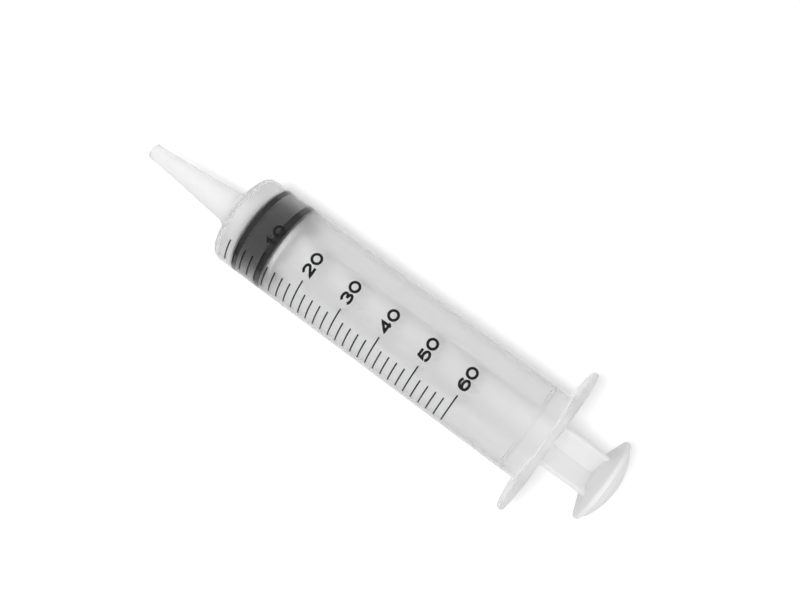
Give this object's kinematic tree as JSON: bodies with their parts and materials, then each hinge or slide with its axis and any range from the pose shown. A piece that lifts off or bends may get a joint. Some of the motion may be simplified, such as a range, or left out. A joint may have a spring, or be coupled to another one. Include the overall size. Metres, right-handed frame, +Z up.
{
  "type": "catheter tip syringe",
  "caption": "Large disposable syringe with a tapered catheter nozzle, clear graduated barrel, rubber stopper, cross-ribbed plunger rod and winged finger flange.",
  "frame": {"origin": "on the surface that the syringe lies on, under the middle of its length and width", "axes": "+X along the syringe from the nozzle to the thumb rest, +Y along the flange's wings, +Z up. The axis rises 0.72 degrees towards the thumb rest, because the syringe rests on the barrel's front and on the flange's flat side."},
  "size_m": [0.187, 0.052, 0.035],
  "materials": {
    "barrel_polypropylene": "translucent moulded polypropylene, satin",
    "rod_polypropylene": "opaque white moulded polypropylene, satin",
    "stopper_rubber": "moulded, smooth",
    "scale_ink": "printed ink, matt"
  },
  "bodies": {
    "barrel": {"barrel": "barrel_polypropylene", "scale_lines": "scale_ink"},
    "stopper": {"stopper": "stopper_rubber"},
    "plunger": {"plunger_rod": "rod_polypropylene"}
  },
  "joints": [
    {"name": "plunger_slide", "type": "slide", "parent": "barrel", "child": "stopper", "axis": [0.9999, 0, 0.0126], "range_m": [-0.0053, 0.0946]},
    {"name": "plunger_turn", "type": "hinge", "parent": "stopper", "child": "plunger", "pos_m": [-0.0405, 0, 0.01615], "axis": [0.9999, 0, 0.0126], "continuous": true}
  ]
}
